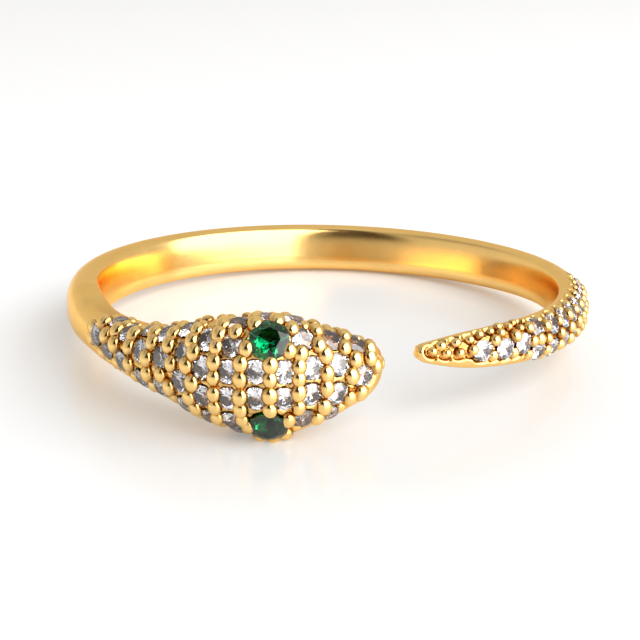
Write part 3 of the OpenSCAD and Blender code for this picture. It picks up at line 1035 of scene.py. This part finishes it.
# Lights: sizes in metres
def add_softbox(name, azimuth, elevation, away, size, power):
    """A rectangular light aimed at the ring, from an angle round it and an angle above the floor."""
    data = bpy.data.lights.new(name, "AREA")
    data.shape = "RECTANGLE"
    data.size, data.size_y = size
    data.energy = power
    light = bpy.data.objects.new(name, data)
    bpy.context.scene.collection.objects.link(light)
    a, e = math.radians(azimuth), math.radians(elevation)
    place = Vector((math.sin(a) * math.cos(e), -math.cos(a) * math.cos(e), math.sin(e))) * away
    light.location = place
    light.rotation_euler = (-place).to_track_quat("-Z", "Y").to_euler()


# Room: the brightness of its walls by height, and of its left wall, which is dimmer high up
WALL_HEIGHTS = [(0.0, (0.74, 0.73, 0.72, 1)), (0.4, (0.7, 0.69, 0.68, 1)), (1.0, (0.74, 0.74, 0.74, 1))]
LEFT_HEIGHTS = [(0.0, (0.84, 0.83, 0.82, 1)), (0.45, (0.7, 0.69, 0.67, 1)), (0.7, (0.4, 0.4, 0.4, 1))]
LEFT_SPAN = {"From Min": -0.1, "From Max": -0.7}
# Dark panel: the way to it, its half width low down and high up, and how its edges fade
PANEL_AZIMUTH = math.radians(-14.0)
PANEL_COLOUR = (0.05, 0.035, 0.025, 1)
PANEL_WIDTHS = {"From Min": 0.0, "From Max": 0.95, "To Min": 0.62, "To Max": 0.12}
PANEL_SIDES = {"From Min": -0.08, "From Max": 0.08}
PANEL_AHEAD = {"From Min": 0.0, "From Max": 0.2}
PANEL_FOOT = {"From Min": 0.14, "From Max": 0.3}


def panel_share(tree, way, height):
    """1 where the way meets the dark panel, which narrows upwards, and 0 beside it."""
    facing = (math.sin(PANEL_AZIMUTH), -math.cos(PANEL_AZIMUTH), 0)
    beside = (math.cos(PANEL_AZIMUTH), math.sin(PANEL_AZIMUTH), 0)
    front = node(tree, "ShaderNodeVectorMath", {0: way, 1: facing}, operation="DOT_PRODUCT")
    across = node(tree, "ShaderNodeVectorMath", {0: way, 1: beside}, operation="DOT_PRODUCT")
    off_middle = maths(tree, "ABSOLUTE", across.outputs["Value"])
    inside = maths(tree, "SUBTRACT", span(tree, height, PANEL_WIDTHS), off_middle)
    ahead = span(tree, front.outputs["Value"], PANEL_AHEAD)
    shown = maths(tree, "MULTIPLY", span(tree, inside, PANEL_SIDES), ahead)
    return maths(tree, "MULTIPLY", shown, span(tree, height, PANEL_FOOT))


def add_room():
    """A pale room with one dark panel behind the camera, to its left."""
    world = bpy.data.worlds.new("studio_room")
    bpy.context.scene.world = world
    world.use_nodes = True
    tree = world.node_tree
    tree.nodes.clear()
    way = node(tree, "ShaderNodeTexCoord").outputs["Generated"]
    split = node(tree, "ShaderNodeSeparateXYZ", {"Vector": way})
    height = split.outputs["Z"]
    leftwards = span(tree, split.outputs["X"], LEFT_SPAN)
    walls = mix_colours(tree, leftwards, ramp(tree, height, WALL_HEIGHTS), ramp(tree, height, LEFT_HEIGHTS))
    room = mix_colours(tree, panel_share(tree, way, height), walls, PANEL_COLOUR)
    back = node(tree, "ShaderNodeBackground", {"Color": room, "Strength": 1.0})
    out = node(tree, "ShaderNodeOutputWorld")
    tree.links.new(back.outputs[0], out.inputs["Surface"])


# Floor, in metres: painted a darker grey under the ring as painted shade, and glowing everywhere a little and
# there a little more and warmer, as painted light that lifts its shadow; paler from GLOW_FROM to GLOW_TO
FLOOR_HALF = 1.5
GLOW_MIDDLE = (0, -0.004, 0)
GLOW_FROM = 0.009
GLOW_TO = 0.017
FLOOR_PAINTED_SHADE = [(0.0, (0.57, 0.575, 0.58, 1)), (1.0, (0.95, 0.95, 0.95, 1))]
FLOOR_PAINTED_GLOW = [(0.0, (0.26, 0.25, 0.235, 1)), (1.0, (0.06, 0.06, 0.06, 1))]
FLOOR_ROUGHNESS = 0.25


def add_floor():
    corners = [(x * FLOOR_HALF, y * FLOOR_HALF, 0) for x, y in ((-1, -1), (1, -1), (1, 1), (-1, 1))]
    floor = mesh_piece("floor", corners, [(0, 1, 2, 3)])
    material, tree, shader = shader_of("pale_floor")
    place = node(tree, "ShaderNodeTexCoord").outputs["Object"]
    away = node(tree, "ShaderNodeVectorMath", {0: place, 1: GLOW_MIDDLE}, operation="DISTANCE")
    spread = span(tree, away.outputs["Value"], {"From Min": GLOW_FROM, "From Max": GLOW_TO})
    # Painted shade: the floor's colour is darker near the ring
    tree.links.new(ramp(tree, spread, FLOOR_PAINTED_SHADE), shader.inputs["Base Color"])
    # Painted light: the floor glows, more near the ring, though it is no lamp
    tree.links.new(ramp(tree, spread, FLOOR_PAINTED_GLOW), shader.inputs["Emission Color"])
    shader.inputs["Emission Strength"].default_value = 1.0
    shader.inputs["Roughness"].default_value = FLOOR_ROUGHNESS
    shader.inputs["Specular IOR Level"].default_value = 0.5
    floor.data.materials.append(material)


# Sets of beads: broad ones on the head, smaller ones on the tail
# Each row: name, places, width, seed, stretch, lean, unevenness
BEAD_SETS = [
    ["setting_beads", HEAD_BEAD_PLACES, 1.1 * BEAD_D, 3, 1.18, 0.16, 0.07],
    ["edge_beads", HEAD_LOW_PLACES, BEAD_D, 4, 1.1, 0.16, 0.07],
    ["crest_beads", CREST_PLACES, BEAD_D, 6, 1.0, 0.45, 0.16],
    ["tail_beads", TAIL_BEAD_PLACES, 0.9 * BEAD_D, 8, 1.0, 0.24, 0.12],
    ["tail_edge_beads", TAIL_LOW_PLACES, 0.85 * BEAD_D, 10, 1.0, 0.24, 0.12],
    ["tail_grains", GRAIN_PLACES, 0.9 * GRAIN_D, 5, 0.9, 0.4, 0.2],
]
# Sets of stones: those of the head fill the play that their seats have
# Each row: name, places, width, finish, seed, slot, CAD node
STONE_SETS = [
    ["head_pave", HEAD_SEATS, 1.04 * STONE_D, CLEAR_STONE, 7, "clear_stone", "head_stones"],
    ["tail_pave", TAIL_SEATS, STONE_D, CLEAR_STONE, 9, "clear_stone", "tail_stones"],
    ["upper_eye", EYE_SEATS[:1], EYE_D, GREEN_STONE, 11, "green_stone", "eye_upper"],
    ["lower_eye", EYE_SEATS[1:], EYE_D, SHADED_GREEN_STONE, 12, "green_stone", "eye_lower"],
]

# The script's work
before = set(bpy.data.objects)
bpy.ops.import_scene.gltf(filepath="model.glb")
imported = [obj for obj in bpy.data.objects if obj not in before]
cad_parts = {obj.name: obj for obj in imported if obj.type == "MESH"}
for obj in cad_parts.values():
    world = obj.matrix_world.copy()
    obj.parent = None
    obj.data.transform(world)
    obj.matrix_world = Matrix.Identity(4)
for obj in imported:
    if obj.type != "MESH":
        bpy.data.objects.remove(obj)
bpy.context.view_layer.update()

add_camera()
add_room()
add_floor()
add_softbox("right_softbox", azimuth=56, elevation=30, away=0.3, size=(0.46, 0.4), power=1.9)
bpy.context.scene.view_settings.view_transform = "Standard"

pieces = [(build_body(), "gold", "band")]
bead = bead_shape()
stone = brilliant()
for name, stands, width, *variation in BEAD_SETS:
    pieces.append((set_on(name, bead, stands, width, BEAD_GOLD, *variation), "gold", "band"))
for name, stands, width, finish, seed, slot, cad_node in STONE_SETS:
    pieces.append((set_on(name, stone, stands, width, finish, seed), slot, cad_node))
for shape in (bead, stone):
    bpy.data.objects.remove(shape)
for piece, slot, cad_node in pieces:
    dress(piece, slot, cad_node)
